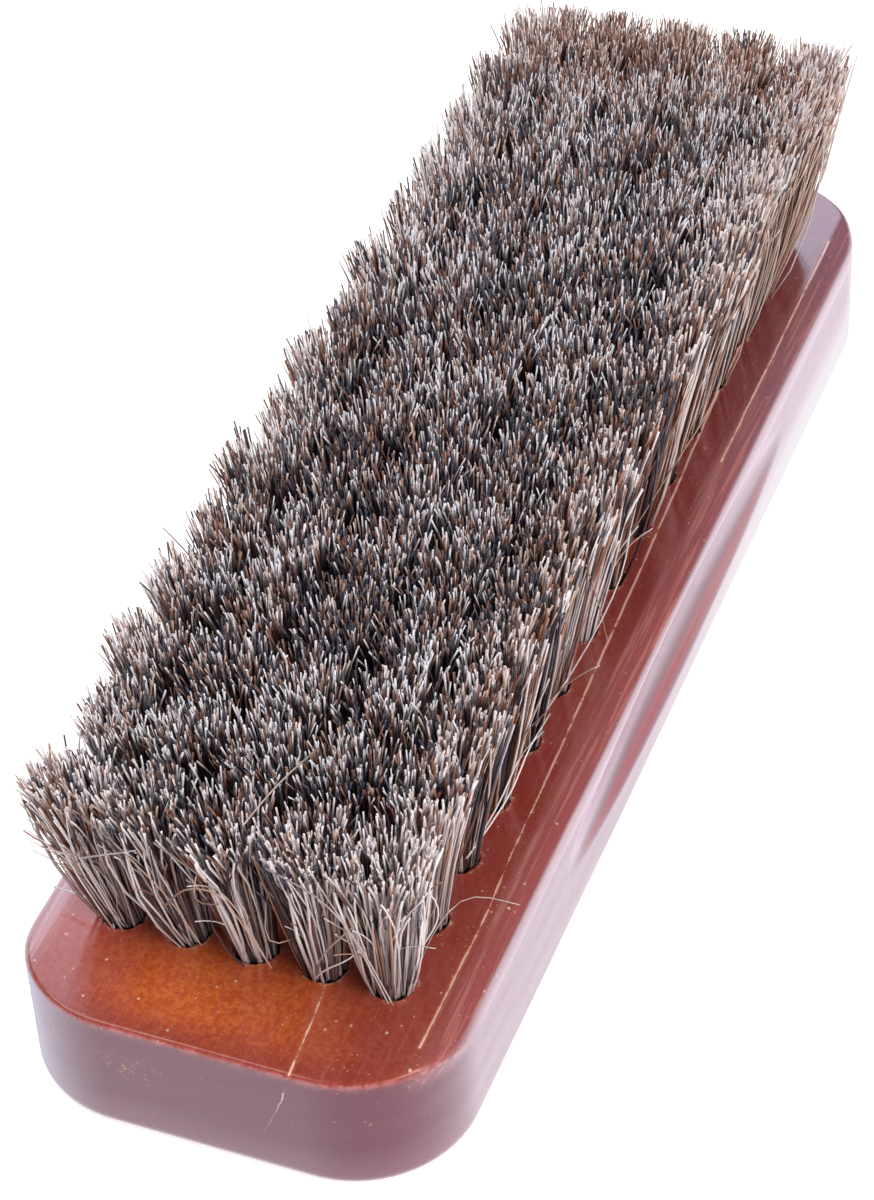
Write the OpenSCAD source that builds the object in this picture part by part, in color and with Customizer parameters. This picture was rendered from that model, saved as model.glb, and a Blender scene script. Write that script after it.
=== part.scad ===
// Shoe shine brush: a lacquered wooden block, drilled and filled with tufts of horsehair.
// X runs along the block, Y across it and Z up. The block lies on its back with the hair up,
// so the origin is the middle of the back face.

/* [Block] */
// Length of the wooden block
block_l = 170; // [164:1:180]
// Width of the wooden block
block_w = 52; // [50:0.5:56]
// Thickness of the wooden block, from its back to the face with the hair
block_t = 17; // [15:0.5:20]
// Corner radius of the block, seen from above
corner_r = 14; // [10:0.5:16]
// Radius of the rounded shoulder along both long sides of the face
shoulder_r = 3.8; // [2:0.1:4.5]
// Radius that breaks the face's edge round both ends
arris_r = 0.6; // [0.3:0.1:1]
// Radius that breaks the edge of the back
back_edge_r = 1.6; // [1:0.1:2.5]

/* [Finger grooves] */
// Length of the groove in each long side
groove_l = 80; // [60:1:100]
// Deepest cut of the groove
groove_deep = 2; // [1:0.1:2.4]
// Radius of the cutter that makes the groove
groove_cutter_r = 8; // [6:0.5:9]
// Height of the groove's middle above the back
groove_z = 10; // [9:0.5:10.5]

/* [Tuft holes] */
// Rows of tufts along the block
rows = 15; // [11:1:15]
// Tufts in each row, across the block
cols = 5; // [3:1:5]
// Distance between rows
row_pitch = 9.9; // [9.6:0.1:10]
// Distance between the tufts of a row
col_pitch = 8; // [7.6:0.1:8.2]
// Diameter of a tuft hole
hole_d = 5; // [4.4:0.1:5.2]
// Depth of a tuft hole
hole_deep = 11; // [9:0.5:12]
// Outward lean of the first and last rows, in degrees
end_lean = 12; // [6:1:14]
// Outward lean of the tufts along both long sides, in degrees
side_lean = 6; // [3:1:7]

/* [Hair] */
// Length of hair that stands out of the block
hair_l = 26; // [20:1:30]
// Diameter that a tuft would open to at its trimmed tips, with no neighbours
tip_d = 10.8; // [8:0.1:11]
// Gap between a tuft's root and the wall of its hole
root_gap = 0.05; // [0.02:0.01:0.1]
// Gap that is left on each side of the plane between two tufts
tuft_gap = 0.1; // [0.05:0.01:0.2]

/* [Anchor wires] */
// Thickness of the flat wire that pins a tuft down
anchor_thick = 0.4; // [0.3:0.05:0.5]
// Height of the flat wire
anchor_high = 1.6; // [1.2:0.1:2]
// Hair folded under the wire
fold_thick = 1.2; // [1:0.1:1.5]

/* [Hidden] */
// Rounds on the large turned shapes, and on small holes and edges
fine = 96;
small = 32;
groove_fine = 360;
// How far a cutting shape runs past the surface that it cuts
past = 1;

// The groove's cutter follows a wide arc, so the groove fades out at both ends
groove_arc_r = pow(groove_l / 2, 2) / (2 * groove_deep);
groove_axis_y = block_w / 2 + groove_cutter_r - groove_deep + groove_arc_r;

root_r = hole_d / 2 - root_gap;
flare_steps = 8;
// A leaning tuft starts to open this far above its hole, so it clears the wood
throat = root_r * tan(end_lean) + 0.3;
// Size of the cubes that cut tufts apart, larger than the brush
cutter = 2 * block_l;
// Lean grows towards the ends with this power, so the middle rows stand nearly straight
lean_power = 2;

// Gap from the wire's ends to the wall of the hole, and from its sides to the hair
wire_end_gap = 0.01;
wire_side_gap = 0.02;
anchor_l = 2 * sqrt(pow(hole_d / 2 - wire_end_gap, 2) - pow(anchor_thick / 2, 2));

function row_names(kind) = [for (i = [1 : rows]) str(kind, i < 10 ? "_0" : "_", i)];
TUFT_NODES = row_names("tuft_row");
ANCHOR_NODES = row_names("anchor_row");

// Distance of a row or a tuft from the middle, in steps from -1 at one edge to 1 at the other
function row_step(i) = (2 * i - (rows - 1)) / (rows - 1);
function col_step(j) = (2 * j - (cols - 1)) / (cols - 1);
function row_x(i) = row_step(i) * (rows - 1) / 2 * row_pitch;
function col_y(j) = col_step(j) * (cols - 1) / 2 * col_pitch;
function row_lean(i) = sign(row_step(i)) * end_lean * pow(abs(row_step(i)), lean_power);
function col_lean(j) = -side_lean * col_step(j);

// Steps from a tuft to the plane that bounds it: half a step towards a neighbour, or a whole
// step on the outside, where there is none
function bound(k, count, side) = k + side < 0 || k + side > count - 1 ? side : side / 2;

// A tuft's outline at a share of its open length: its radius, and its height above the wood
function hair_point(share) = [
    root_r + (tip_d / 2 - root_r) * sin(90 * share),
    throat + (hair_l - throat) * share
];

// Puts its children at the mouth of a tuft hole, with Z out along the hole's axis
module at_hole(i, j) {
    translate([row_x(i), col_y(j), block_t])
        rotate([col_lean(j), row_lean(i), 0])
            children();
}

// An upright section with its four corners rounded, standing on Y = 0
module section(w, high, top_r, bottom_r) {
    translate([-w / 2, bottom_r])
        square([w, high - top_r - bottom_r]);
    translate([-w / 2 + bottom_r, 0])
        square([w - 2 * bottom_r, high / 2]);
    translate([-w / 2 + top_r, high / 2])
        square([w - 2 * top_r, high / 2]);
    for (side = [-1, 1]) {
        translate([side * (w / 2 - bottom_r), bottom_r])
            circle(r = bottom_r, $fn = small);
        translate([side * (w / 2 - top_r), high - top_r])
            circle(r = top_r, $fn = small);
    }
}

// The right half of the same section, to be turned into a round corner
module half_section(half_w, high, top_r, bottom_r) {
    intersection() {
        section(2 * half_w, high, top_r, bottom_r);
        square([half_w + past, high + past]);
    }
}

// A section, drawn in X and Y, stood up and run along Y
module run_along_y(length) {
    rotate([90, 0, 0])
        linear_extrude(height = length, center = true)
            children();
}

module run_along_x(length) {
    rotate([0, 0, 90])
        run_along_y(length)
            children();
}

// One end of the board: a straight edge between two quarter rounds
module board_end() {
    translate([block_l / 2 - corner_r, 0, 0]) {
        run_along_y(block_w - 2 * corner_r)
            half_section(corner_r, block_t, arris_r, back_edge_r);
        for (side = [-1, 1])
            translate([0, side * (block_w / 2 - corner_r), 0])
                rotate([0, 0, side < 0 ? -90 : 0])
                    rotate_extrude(angle = 90, $fn = fine)
                        half_section(corner_r, block_t, arris_r, back_edge_r);
    }
}

// The board as it is sawn: round corners, and all its edges broken
module board() {
    run_along_x(block_l - 2 * corner_r)
        section(block_w, block_t, arris_r, back_edge_r);
    for (turn = [0, 180])
        rotate([0, 0, turn])
            board_end();
}

// What is left after the shoulders are moulded along both long sides
module shoulders() {
    translate([0, 0, -past])
        run_along_x(block_l + 2 * past)
            section(block_w, block_t + past, shoulder_r, past);
}

module groove_cut() {
    translate([0, groove_axis_y, groove_z])
        rotate_extrude($fn = groove_fine)
            translate([groove_arc_r, 0])
                circle(r = groove_cutter_r, $fn = small);
}

module tuft_hole() {
    translate([0, 0, -hole_deep])
        cylinder(d = hole_d, h = hole_deep + past, $fn = small);
}

module block() {
    color("#7c3325")
        difference() {
            intersection() {
                board();
                shoulders();
            }
            groove_cut();
            mirror([0, 1, 0])
                groove_cut();
            for (i = [0 : rows - 1], j = [0 : cols - 1])
                at_hole(i, j)
                    tuft_hole();
        }
}

// The flat wire stands on edge across the hole, over the fold of the hair
module anchor(gap = 0) {
    translate([0, 0, -hole_deep + root_gap + fold_thick + anchor_high / 2])
        cube([anchor_l, anchor_thick + 2 * gap, anchor_high + 2 * gap], center = true);
}

// One bundle of hair, folded in the middle, with a slit where the wire holds it
module bundle() {
    foot = -hole_deep + root_gap;
    difference() {
        rotate_extrude($fn = small)
            polygon(concat(
                [[0, foot], [root_r - fold_thick, foot], [root_r, foot + fold_thick]],
                [for (k = [0 : flare_steps]) hair_point(k / flare_steps)],
                [[0, hair_l]]
            ));
        anchor(wire_side_gap);
    }
}

// Everything on a row's own side of the leaning plane towards the row before or after it
module row_room(i, side) {
    plane = i + bound(i, rows, side);
    translate([row_x(plane), 0, block_t])
        rotate([0, row_lean(plane), 0])
            translate([-side * (cutter / 2 + tuft_gap), 0, 0])
                cube(cutter, center = true);
}

// The same between the tufts of a row
module col_room(j, side) {
    plane = j + bound(j, cols, side);
    translate([0, col_y(plane), block_t])
        rotate([col_lean(plane), 0, 0])
            translate([0, -side * (cutter / 2 + tuft_gap), 0])
                cube(cutter, center = true);
}

// The open ends of the hair fill the room between the neighbours, and stop short of them
module tuft(i, j) {
    intersection() {
        at_hole(i, j)
            bundle();
        row_room(i, -1);
        row_room(i, 1);
        col_room(j, -1);
        col_room(j, 1);
    }
}

module tuft_row(i) {
    color(i % 2 == 0 ? "#6b5a50" : "#5f5048")
        for (j = [0 : cols - 1])
            tuft(i, j);
}

module anchor_row(i) {
    color("#b9bcc0")
        for (j = [0 : cols - 1])
            at_hole(i, j)
                anchor();
}

block();
for (i = [0 : rows - 1]) {
    tuft_row(i);
    anchor_row(i);
}
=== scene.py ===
# %% [markdown]
# # A shoe shine brush
# A shine brush is a wooden block, drilled with a grid of blind holes. Each hole holds a tuft of
# horsehair that is folded in two and pinned down by a short flat wire. This lesson dresses the
# brush's construction model: the wood gets a skin with worn edges and torn holes, and every tuft
# becomes hundreds of separate hairs.
#
# The first cell loads the construction model. It is in metres, with X along the block, Y across
# it and Z up, and the origin is the middle of the back that the brush lies on.

import math

import bmesh
import bpy
import numpy as np
from mathutils import Matrix, Vector


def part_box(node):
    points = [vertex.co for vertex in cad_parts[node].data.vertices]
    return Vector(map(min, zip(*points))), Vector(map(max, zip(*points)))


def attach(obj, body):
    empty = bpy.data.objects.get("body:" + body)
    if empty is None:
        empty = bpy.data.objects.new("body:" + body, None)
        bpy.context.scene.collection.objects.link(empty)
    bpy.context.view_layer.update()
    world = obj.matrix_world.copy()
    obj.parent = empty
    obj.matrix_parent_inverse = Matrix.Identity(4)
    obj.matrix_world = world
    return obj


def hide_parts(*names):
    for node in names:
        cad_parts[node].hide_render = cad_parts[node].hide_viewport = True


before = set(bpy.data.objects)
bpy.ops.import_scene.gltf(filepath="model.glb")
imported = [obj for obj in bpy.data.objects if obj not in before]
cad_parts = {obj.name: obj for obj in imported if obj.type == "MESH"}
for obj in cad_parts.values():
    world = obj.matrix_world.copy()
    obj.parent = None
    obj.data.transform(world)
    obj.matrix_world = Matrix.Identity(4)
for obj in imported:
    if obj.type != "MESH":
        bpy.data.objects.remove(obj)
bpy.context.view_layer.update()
mm = 0.001

# %% [markdown]
# ## The camera
# The photo looks down on the brush from its near end. Its camera was found by matching the
# block's straight edges, its round corners and the grid of holes. Roll is a small turn of the
# camera about its own line of sight. How much wider the near end looks than the far end gives
# the camera's distance, and the focal length follows from the brush's size in the picture.

# %% Camera
camera_azimuth = math.radians(-66.95)
camera_elevation = math.radians(42.31)
camera_roll = math.radians(-2.97)
camera_distance = 449.1 * mm
camera_target = Vector((-3.34, 4.59, 10.0)) * mm
sensor_long_side = 36.0
focal_pixels, photo_pixels_high = 3645, 1200


def look_direction(azimuth, elevation):
    """The unit vector from the camera to its target. Azimuth 0 looks along +Y."""
    level = math.cos(elevation)
    return Vector((-math.sin(azimuth) * level, math.cos(azimuth) * level, -math.sin(elevation)))


def add_object(name, data):
    """A new object in the scene."""
    made = bpy.data.objects.new(name, data)
    bpy.context.scene.collection.objects.link(made)
    return made


def make_camera():
    """A camera on the line through the target, turned about that line by the roll."""
    data = bpy.data.cameras.new("camera")
    data.sensor_width = sensor_long_side
    data.lens = sensor_long_side * focal_pixels / photo_pixels_high
    data.clip_start = 0.01
    camera = add_object("camera", data)
    forward = look_direction(camera_azimuth, camera_elevation)
    camera.location = camera_target - forward * camera_distance
    aimed = forward.to_track_quat("-Z", "Y").to_matrix()
    camera.rotation_euler = (aimed @ Matrix.Rotation(camera_roll, 3, "Z")).to_euler()
    bpy.context.scene.camera = camera
    return camera


camera = make_camera()
print("camera at", [round(v / mm, 1) for v in camera.location], "mm, lens", camera.data.lens)

# %% [markdown]
# ## Small tools for meshes
# Every new surface here is worked out as whole arrays of points. These helpers put such arrays
# into a Blender mesh: the points, the faces as rows of point numbers, and any value per point,
# such as how worn an edge is.

# %% Mesh helpers
def new_mesh(name, points, quads, triangles=None, values=None):
    """A smooth-shaded mesh from arrays of points, four-sided faces and three-sided faces."""
    triangles = np.zeros((0, 3), int) if triangles is None else triangles
    corners = np.concatenate([quads.ravel(), triangles.ravel()]).astype(np.int32)
    sides = np.concatenate([np.full(len(quads), 4), np.full(len(triangles), 3)])
    mesh = bpy.data.meshes.new(name)
    mesh.vertices.add(len(points))
    mesh.vertices.foreach_set("co", points.astype(np.float32).ravel())
    mesh.loops.add(len(corners))
    mesh.loops.foreach_set("vertex_index", corners)
    mesh.polygons.add(len(sides))
    starts = np.concatenate([[0], np.cumsum(sides)[:-1]])
    mesh.polygons.foreach_set("loop_start", starts.astype(np.int32))
    mesh.polygons.foreach_set("use_smooth", np.ones(len(sides), bool))
    for value_name, value in (values or {}).items():
        layer = mesh.attributes.new(value_name, "FLOAT", "POINT")
        layer.data.foreach_set("value", value.astype(np.float32).ravel())
    mesh.update(calc_edges=True)
    mesh.validate()
    return mesh


def new_piece(name, mesh, material):
    """An object at the origin that wears a material and rides on the brush's one body."""
    piece = add_object(name, mesh)
    mesh.materials.append(material)
    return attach(piece, "root")


def grid_faces(rows, columns, round_columns=False):
    """Faces between the points of a grid, numbered row by row, closed round if asked."""
    row, column = np.meshgrid(
        np.arange(rows - 1), np.arange(columns if round_columns else columns - 1), indexing="ij"
    )
    after = (column + 1) % columns
    here, up = row * columns, (row + 1) * columns
    return np.stack([here + column, here + after, up + after, up + column], -1).reshape(-1, 4)


def smooth_step(low, high, value):
    """0 below low, 1 above high, and an S-curve between them."""
    share = np.clip((value - low) / (high - low), 0, 1)
    return share * share * (3 - 2 * share)


def soft_lower(a, b, blend):
    """The lower of two heights, rounded over a blend width where they cross."""
    gap = np.clip(0.5 + 0.5 * (b - a) / blend, 0, 1)
    return b + (a - b) * gap - blend * gap * (1 - gap)


print("mesh helpers ready")

# %% [markdown]
# ## Small tools for materials
# A material is a tree of shader nodes. The helpers below add one node or a few, set their
# options and join or fill their inputs, so that each material can be read as a list of steps.

# %% Material helpers
def fill(tree, node, inputs):
    """Fills a node's inputs. Each is a number, a colour, or another node's output."""
    for key, value in inputs.items():
        if isinstance(value, bpy.types.NodeSocket):
            tree.links.new(value, node.inputs[key])
        else:
            node.inputs[key].default_value = value


def add(tree, kind, inputs=None, **options):
    """Adds a node with its options and inputs."""
    node = tree.nodes.new("ShaderNode" + kind)
    for name, value in options.items():
        setattr(node, name, value)
    fill(tree, node, inputs or {})
    return node


def math_node(tree, operation, a, b=0.0, c=0.0):
    """The output of one Math node."""
    return add(tree, "Math", {0: a, 1: b, 2: c}, operation=operation).outputs[0]


def times(tree, product, *factors):
    """The product of two or more values."""
    for factor in factors:
        product = math_node(tree, "MULTIPLY", product, factor)
    return product


def lowest(tree, values):
    """The lowest of several values."""
    least = values[0]
    for value in values[1:]:
        least = math_node(tree, "MINIMUM", least, value)
    return least


def vector_node(tree, operation, a, b=(0, 0, 0)):
    """The output of one Vector Math node."""
    node = add(tree, "VectorMath", {0: a, 1: b}, operation=operation)
    return node.outputs["Value" if operation in ("DOT_PRODUCT", "LENGTH", "DISTANCE") else 0]


def scaled(tree, vector, factor):
    """A vector times a number."""
    return add(tree, "VectorMath", {0: vector, "Scale": factor}, operation="SCALE").outputs[0]


def attribute(tree, name):
    """A value that the mesh keeps for each of its points."""
    return add(tree, "Attribute", attribute_name=name).outputs["Fac"]


def noise(tree, place, scale, detail=2.0, roughness=0.5):
    """A noise texture's value."""
    inputs = {"Vector": place, "Scale": scale, "Detail": detail, "Roughness": roughness}
    return add(tree, "TexNoise", inputs).outputs[0]


def band(tree, value, low, high, to_low=0.0, to_high=1.0):
    """A value carried from the range low to high, smoothly, onto another range."""
    inputs = {"Value": value, "From Min": low, "From Max": high, "To Min": to_low, "To Max": to_high}
    return add(tree, "MapRange", inputs, interpolation_type="SMOOTHSTEP").outputs[0]


def mix_colour(tree, share, a, b, blend_type="MIX"):
    """A Mix node's colour, from a at share 0 to b at share 1."""
    node = add(tree, "Mix", {0: share, 6: a, 7: b}, data_type="RGBA", blend_type=blend_type)
    return node.outputs[2]


def ramp(tree, value, stops):
    """A Color Ramp's colour, with stops given as (place, colour)."""
    node = add(tree, "ValToRGB", {0: value})
    elements = node.color_ramp.elements
    while len(elements) < len(stops):
        elements.new(0.5)
    for element, (place, colour) in zip(elements, stops):
        element.position = place
        element.color = (*colour, 1)
    return node.outputs[0]


def empty_tree(owner):
    """The node tree of a material or a world, with nothing in it."""
    owner.use_nodes = True
    owner.node_tree.nodes.clear()
    return owner.node_tree


def new_material(name):
    """A material with its tree, which holds only a Principled BSDF and the output."""
    material = bpy.data.materials.new(name)
    tree = empty_tree(material)
    shader = add(tree, "BsdfPrincipled")
    add(tree, "OutputMaterial", {0: shader.outputs[0]})
    return material, tree, shader


def new_group(name, inputs, outputs):
    """A node group with named inputs, given as (kind, name, value), and named outputs."""
    tree = bpy.data.node_groups.new(name, "ShaderNodeTree")
    for kind, label, value in inputs:
        socket = tree.interface.new_socket(label, in_out="INPUT", socket_type="NodeSocket" + kind)
        socket.default_value = value
    for kind, label in outputs:
        tree.interface.new_socket(label, in_out="OUTPUT", socket_type="NodeSocket" + kind)
    return tree, tree.nodes.new("NodeGroupInput").outputs, tree.nodes.new("NodeGroupOutput").inputs


def use_group(tree, group, inputs):
    """Places a node group in a tree and returns its outputs."""
    node = tree.nodes.new("ShaderNodeGroup")
    node.node_tree = group
    fill(tree, node, inputs)
    return node.outputs


print("material helpers ready")

# %% [markdown]
# ## The driving sizes
# The block's size comes from the construction model. The holes stand in a grid of 15 rows along
# the block and 5 tufts in each row. They lean outwards, more and more towards the ends, so that
# the trimmed hair covers a larger patch than the drilled face.

# %% Sizes of the block and the grid of holes
half_long, half_wide, face_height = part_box("block")[1]
corner_radius = 14 * mm
shoulder_radius = 3.8 * mm
arris_radius = 0.6 * mm
back_edge_radius = 1.6 * mm

rows, tufts_in_row = 15, 5
row_pitch, tuft_pitch = 9.9 * mm, 8 * mm
hole_radius, hole_depth = 2.5 * mm, 11 * mm
groove_deep, groove_half_length, groove_middle = 2 * mm, 40 * mm, 10 * mm
groove_cutter_radius = 8 * mm
end_lean, side_lean = math.radians(12), math.radians(6)
lean_power = 2
hair_length = 26 * mm


def row_share(row):
    """Where a row stands along the block, from -1 at one end to 1 at the other."""
    return (2 * row - (rows - 1)) / (rows - 1)


def tuft_share(tuft):
    """Where a tuft stands across the block, from -1 to 1."""
    return (2 * tuft - (tufts_in_row - 1)) / (tufts_in_row - 1)


def hole_frame(row, tuft):
    """The middle of a hole's mouth and the unit vector out along the hole."""
    along, across = row_share(row), tuft_share(tuft)
    x = along * (rows - 1) / 2 * row_pitch
    y = across * (tufts_in_row - 1) / 2 * tuft_pitch
    lean_x = np.sign(along) * end_lean * abs(along) ** lean_power
    lean_y = side_lean * across
    out = (np.cos(lean_y) * np.sin(lean_x), np.sin(lean_y), np.cos(lean_y) * np.cos(lean_x))
    return np.array([x, y, face_height]), np.array(out)


print("block in mm:", [round(v / mm, 1) for v in (half_long, half_wide, face_height)])

# %% [markdown]
# ## Lacquered wood
# The block is stained red-brown and sprayed with a thick clear lacquer. Close up, the colour is
# a fine mottle over a faint grain. Painted light is laid into the colour too: an orange glow
# where the light goes in at the near end, a painted reflection of the floor on the walls, and a
# painted sheen with highlight streaks on the shoulder. The lacquer is cracked and rubbed through
# in thin pale lines, and dust sits in it.
#
# A scratch is worked out from the distance to a straight stretch between two points, with noise
# that breaks it up. That distance is a node group, because one long crack takes many stretches.

# %% Node group for the distance to a scratch
def make_scratch_group():
    """Distance to the stretch from A to B: the point's share along A to B is held to 0 to 1."""
    tree, given, made = new_group(
        "scratch stretch",
        [("Vector", "Place", (0, 0, 0)), ("Vector", "A", (0, 0, 0)), ("Vector", "B", (0, 0, 1))],
        [("Float", "Distance")],
    )
    away = vector_node(tree, "SUBTRACT", given["Place"], given["A"])
    along = vector_node(tree, "SUBTRACT", given["B"], given["A"])
    reach = vector_node(tree, "DOT_PRODUCT", away, along)
    length = vector_node(tree, "DOT_PRODUCT", along, along)
    share = math_node(tree, "DIVIDE", reach, length)
    held = add(tree, "Clamp", {0: share}).outputs[0]
    nearest = vector_node(tree, "SUBTRACT", away, scaled(tree, along, held))
    tree.links.new(vector_node(tree, "LENGTH", nearest), made["Distance"])
    return tree


scratch_group = make_scratch_group()
print("scratch group has", len(scratch_group.nodes), "nodes")

# %% [markdown]
# ## Cracks in the lacquer, and a painted highlight line
# Lacquer that is harder than the wood under it splits as the wood shrinks, mostly along the
# edge of the face. Each crack is a list of points on the block's surface, in millimetres. It
# could be painted in a picture, but points stay sharp from any distance. One more line, along
# the edge of the shoulder, is a painted highlight, given the same way.

# %% Where the lacquer is cracked, and the painted highlight line on the shoulder's edge
face_level = face_height / mm
face_crack = [(-76.8, -22.0), (-56, -22.0), (-46.7, -21.4), (-36, -21.2), (-15.9, -20.5)]
face_crack += [(4.4, -19.8), (16.4, -19.3), (25, -18.9), (40.5, -18.3), (53.1, -18.1)]
# Painted highlight: a thin pale line along the shoulder's edge, where it catches the light.
shoulder_highlight_line = [(25, -22.9), (48, -22.8), (73, -22.6)]
crack_and_highlight_lines = [[(x, y, face_level) for x, y in crack_and_highlight] for crack_and_highlight in (face_crack, shoulder_highlight_line)]
end_crack = [(-71.9, -9.2, face_level), (-76.4, -9.7, face_level), (-84.7, -10.3, face_level)]
crack_and_highlight_lines.append(end_crack + [(-85, -9.2, 12.5), (-85, -6.8, 6.4)])
stretches = [pair for crack_and_highlight in crack_and_highlight_lines for pair in zip(crack_and_highlight, crack_and_highlight[1:])]
print(len(crack_and_highlight_lines), "cracks in", len(stretches), "straight stretches")


# %% [markdown]
# ## Layers of the finish
# The real finish went on in layers, so the material is made in layers too. The functions below
# add the nodes of one layer each, with a helper for scattered specks. They give back colours, or
# shares from 0 to 1 that say where a layer shows, and the clear coat's gives back its shader.

# %% Layers of the wood's finish, in millimetres
def stain_layer(tree, place, x, z, off_middle, on_face):
    """The stain's colour and its mottle, with painted light: an orange glow at the near end, a painted
    reflection of the floor on the walls, and a painted sheen on the shoulder.
    """
    grain = noise(tree, vector_node(tree, "MULTIPLY", place, (0.03, 1.0, 1.0)), 2.0, 4.0, 0.6)
    mottle = noise(tree, place, 1.8, 3.0, 0.65)
    cloud = noise(tree, place, 0.05, 2.0)
    # Painted glow: orange where the light goes in at the near end, with brighter speckles there.
    near_end_glow = times(tree, band(tree, x, -80, -52, 1.0, 0.10), band(tree, cloud, 0.3, 0.7, 0.75, 1.15))
    near_end_glow = times(tree, near_end_glow, on_face, band(tree, off_middle, 5, 19, 1.0, 0.12))
    near_end_glow = times(tree, near_end_glow, band(tree, x, -85, -79.5, 0.15, 1.0))
    red = mix_colour(tree, band(tree, x, -60, 80), (0.375, 0.053, 0.037, 1), (0.22, 0.031, 0.037, 1))
    red = mix_colour(tree, band(tree, x, -80, -70, 0.5, 0.0), red, (0.19, 0.020, 0.018, 1))
    # Painted reflection of the pale floor on the walls: purple, lighter towards the floor.
    wall_floor_reflection = mix_colour(tree, band(tree, z, 7, 1), (0.13, 0.012, 0.036, 1), (0.22, 0.085, 0.12, 1))
    raised = math_node(tree, "MULTIPLY_ADD", band(tree, off_middle, 18, 23), 0.3, z)
    red = mix_colour(tree, band(tree, raised, 16.6, 15.9), red, wall_floor_reflection)
    red = mix_colour(tree, attribute(tree, "lip"), red, (0.36, 0.04, 0.05, 1))
    stain = mix_colour(tree, near_end_glow, red, (0.58, 0.092, 0.022, 1))
    lighter = mix_colour(tree, 0.25, red, (0.5, 0.12, 0.08, 1))
    bright = mix_colour(tree, near_end_glow, lighter, (0.78, 0.19, 0.04, 1))
    speckled = times(tree, band(tree, mottle, 0.38, 0.66), band(tree, x, -80, -30, 1.0, 0.35))
    colour = mix_colour(tree, times(tree, speckled, band(tree, z, 15.0, 16.8)), stain, bright)
    # Painted sheen on the shoulder, pink near and lavender far, with painted highlight streaks along the
    # grain on the shoulder and faintly over the face.
    shoulder = times(tree, band(tree, off_middle, 21.4, 23.6), band(tree, z, 13.0, 15.4))
    shoulder_sheen = mix_colour(tree, band(tree, x, -10, 50), (0.37, 0.12, 0.13, 1), (0.36, 0.19, 0.26, 1))
    colour = mix_colour(tree, times(tree, shoulder, 0.5), colour, shoulder_sheen)
    raking = math_node(tree, "ADD", times(tree, shoulder, 0.75), band(tree, z, 15.5, 16.8, 0.0, 0.15))
    highlight_streaks = times(tree, band(tree, grain, 0.50, 0.62), raking)
    return mix_colour(tree, highlight_streaks, colour, (0.52, 0.19, 0.17, 1)), mottle


def crack_and_highlight_layer(tree, place, x, z):
    """Two shares: the thin, broken lines of cracked lacquer and of the painted highlight on the shoulder's
    edge, and the paler wood close beside them.
    """
    wobble = add(tree, "TexNoise", {"Vector": place, "Scale": 0.28, "Detail": 4.0}).outputs[1]
    shift = vector_node(tree, "SUBTRACT", wobble, (0.5, 0.5, 0.5))
    moved = vector_node(tree, "ADD", place, scaled(tree, shift, 0.25))
    groups = [use_group(tree, scratch_group, {"Place": moved, "A": a, "B": b}) for a, b in stretches]
    distance = lowest(tree, [group["Distance"] for group in groups])
    broken = noise(tree, place, 0.33, 5.0, 0.8)
    whole = band(tree, x, -38, -32, 0.0, 0.12)
    whole = math_node(tree, "ADD", whole, band(tree, x, -50, -57, 0.0, 0.05))
    width = band(tree, math_node(tree, "ADD", broken, whole), 0.43, 0.62, 0.02, 0.155)
    line = band(tree, math_node(tree, "DIVIDE", distance, width), 0.5, 1.25, 1.0, 0.0)
    strong = times(tree, band(tree, z, 7.0, 16.5, 0.10, 1.0), band(tree, broken, 0.36, 0.50, 0.35, 1.0))
    beside = band(tree, distance, 0.15, 0.55, 0.35, 0.0)
    return times(tree, line, strong), times(tree, beside, band(tree, x, -62, -57, 1.0, 0.25))


def speck_cells(tree, place, scale, channel, low, high):
    """Scattered cells: the distance from each cell's middle, and 1 in the cells that are picked."""
    cells = add(tree, "TexVoronoi", {"Vector": place, "Scale": scale, "Randomness": 1.0})
    number = add(tree, "SeparateColor", {0: cells.outputs["Color"]}).outputs[channel]
    return cells.outputs["Distance"], band(tree, number, low, high)


def dust_layer(tree, place, x, z):
    """Specks of dust in the lacquer: scattered larger ones, and finer ones that lie in heaps."""
    distance, picked = speck_cells(tree, place, 0.7, 0, 0.52, 0.56)
    size = band(tree, noise(tree, place, 0.8), 0.35, 0.7, 0.07, 0.17)
    large = band(tree, math_node(tree, "DIVIDE", distance, size), 0.7, 1.1, 1.0, 0.0)
    large = times(tree, large, picked, band(tree, z, 12.0, 16.5, 0.2, 1.0))
    large = times(tree, large, band(tree, x, -60, -20, 1.0, 0.4))
    distance, picked = speck_cells(tree, place, 1.7, 1, 0.45, 0.5)
    heaped = band(tree, noise(tree, place, 0.16, 3.0, 0.6), 0.50, 0.62)
    fine = times(tree, band(tree, distance, 0.10, 0.17, 1.0, 0.0), heaped)
    fine = times(tree, fine, picked, band(tree, z, 15.0, 16.5))
    return math_node(tree, "MAXIMUM", large, fine)


def scuff_layer(tree, place):
    """A patch of grit on the end wall, where the lacquer has been rubbed."""
    flattened = vector_node(tree, "MULTIPLY", place, (1, 1, 1.6))
    distance = vector_node(tree, "DISTANCE", flattened, (-85, 8.7, 17.4))
    fray = band(tree, noise(tree, place, 0.7, 3.0, 0.6), 0.3, 0.7, -1.8, 1.8)
    reach = band(tree, math_node(tree, "ADD", distance, fray), 0.4, 4.6, 1.0, 0.0)
    grit = band(tree, noise(tree, place, 2.3, 4.0, 0.75), 0.50, 0.60)
    thin = band(tree, noise(tree, place, 0.6, 3.0, 0.6), 0.42, 0.56)
    return times(tree, reach, times(tree, grit, thin))


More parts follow.
